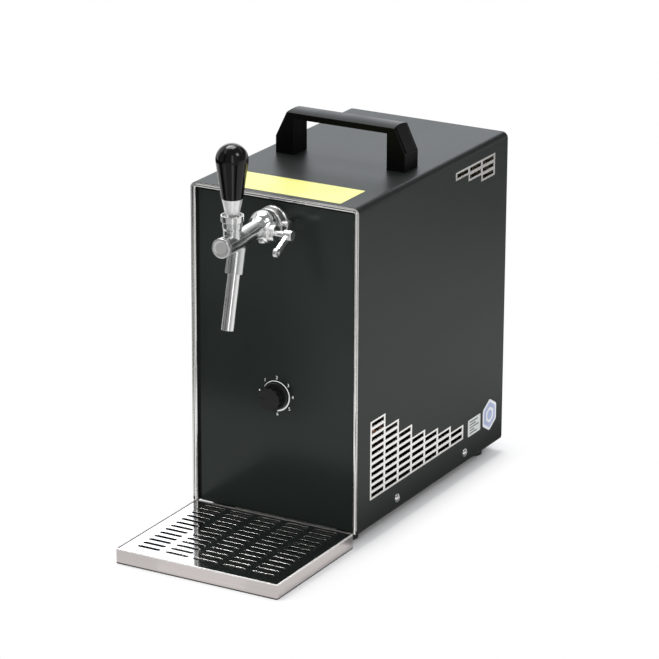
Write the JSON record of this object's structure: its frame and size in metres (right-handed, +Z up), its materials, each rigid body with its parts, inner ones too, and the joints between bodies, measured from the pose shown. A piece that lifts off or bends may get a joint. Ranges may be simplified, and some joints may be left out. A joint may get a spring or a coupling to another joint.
{
  "type": "draft beer dispenser",
  "caption": "Counter-top dry-cooled draft beer dispenser with a chromed lever tap, carry handle, thermostat dial, vented steel casing and a loose slotted drip tray.",
  "frame": {"origin": "centre of the bounding box in plan, on the surface that the feet and the drip tray stand on", "axes": "+Z up, -Y out of the front face with the tap, +X to the right as seen from the front"},
  "size_m": [0.1764, 0.437, 0.3822],
  "materials": {
    "stainless_sheet": "satin rolled stainless sheet",
    "dark_film": "fine-textured dark film on the cover",
    "polished_steel": "polished stainless",
    "gloss_black_plate": "gloss black front plate",
    "chromed_brass": "bright polished chrome",
    "black_knob": "gloss black moulded knob",
    "black_plastic": "fine-grained black moulding",
    "rubber_black": "matt black rubber",
    "zinc_screws": "bright zinc plating",
    "white_plastic": "white moulded plastic",
    "red_switch": "red translucent rocker",
    "foam": "pale rigid foam",
    "aluminium_block": "bare aluminium",
    "copper_pipe": "bare copper",
    "beer_tube": "stainless beer line",
    "black_enamel": "black enamelled steel shell"
  },
  "bodies": {
    "cooler": {"casing_cover": "stainless_sheet", "base_pan": "stainless_sheet", "front_panel": "stainless_sheet", "rear_panel": "stainless_sheet", "block_shelf": "stainless_sheet", "casing_film": "dark_film", "front_trim": "polished_steel", "casing_screws": "polished_steel", "front_plate": "gloss_black_plate", "tap_flange": "chromed_brass", "coupling_nut": "chromed_brass", "tap_body": "chromed_brass", "tap_front_cap": "chromed_brass", "collar_nut": "chromed_brass", "spout": "chromed_brass", "compensator_gland": "chromed_brass", "compensator_plug": "chromed_brass", "tap_shank": "chromed_brass", "shank_nut": "chromed_brass", "carry_handle": "black_plastic", "handle_caps": "black_plastic", "mains_inlet": "black_plastic", "switch_body": "black_plastic", "inlet_fitting": "black_plastic", "inlet_nut": "black_plastic", "fan_shroud": "black_plastic", "fan_motor": "black_plastic", "rubber_feet": "rubber_black", "compressor_grommets": "rubber_black", "rear_screws": "zinc_screws", "handle_screws": "zinc_screws", "thermostat_body": "white_plastic", "insulation_box": "foam", "insulation_lid": "foam", "cooling_block": "aluminium_block", "condenser": "aluminium_block", "discharge_pipe": "copper_pipe", "condenser_outlet_pipe": "copper_pipe", "filter_drier": "copper_pipe", "liquid_line": "copper_pipe", "suction_pipe": "copper_pipe", "beer_outlet_line": "beer_tube", "beer_inlet_line": "beer_tube", "compressor": "black_enamel"},
    "tap_lever": {"lever_stem": "chromed_brass", "lever_ferrule": "chromed_brass", "tap_handle": "black_knob"},
    "valve": {"valve_stem": "chromed_brass", "valve_seal": "rubber_black"},
    "compensator": {"compensator_shaft": "chromed_brass", "compensator_lever": "chromed_brass"},
    "compensator_slider": {"compensator_cone": "white_plastic"},
    "dial": {"thermostat_knob": "black_plastic", "thermostat_shaft": "chromed_brass"},
    "tray": {"drip_tray": "stainless_sheet"},
    "grate": {"drip_grate": "polished_steel"},
    "fan": {"fan_rotor": "black_plastic"},
    "rocker": {"switch_rocker": "red_switch"}
  },
  "joints": [
    {"name": "lever_pull", "type": "hinge", "parent": "cooler", "child": "tap_lever", "pos_m": [0, -0.153, 0.3126], "axis": [1, 0, 0], "range_deg": [0, 20]},
    {"name": "valve_slide", "type": "slide", "parent": "cooler", "child": "valve", "axis": [0, 1, 0], "range_m": [0, 0.0068]},
    {"name": "compensator_turn", "type": "hinge", "parent": "cooler", "child": "compensator", "pos_m": [0, -0.1044, 0.291], "axis": [1, 0, 0], "range_deg": [-45, 45]},
    {"name": "compensator_slide", "type": "slide", "parent": "cooler", "child": "compensator_slider", "axis": [0, 1, 0], "range_m": [-0.003, 0.003]},
    {"name": "dial_turn", "type": "hinge", "parent": "cooler", "child": "dial", "pos_m": [0, -0.0825, 0.129], "axis": [0, 1, 0], "range_deg": [0, 257]},
    {"name": "tray_slide", "type": "slide", "parent": "cooler", "child": "tray", "axis": [0, -1, 0], "range_m": [0, 0.15]},
    {"name": "grate_lift", "type": "slide", "parent": "tray", "child": "grate", "axis": [0, 0, 1], "range_m": [0, 0.04]},
    {"name": "fan_spin", "type": "hinge", "parent": "cooler", "child": "fan", "pos_m": [0, -0.0115, 0.062], "axis": [0, 1, 0], "continuous": true},
    {"name": "switch_rock", "type": "hinge", "parent": "cooler", "child": "rocker", "pos_m": [0.045, 0.2015, 0.08], "axis": [1, 0, 0], "range_deg": [0, 16]}
  ],
  "couplings": [
    {"joint": "valve_slide", "follows": "lever_pull", "m_per_rad": 0.0192},
    {"joint": "compensator_slide", "follows": "compensator_turn", "m_per_rad": -0.00378}
  ]
}
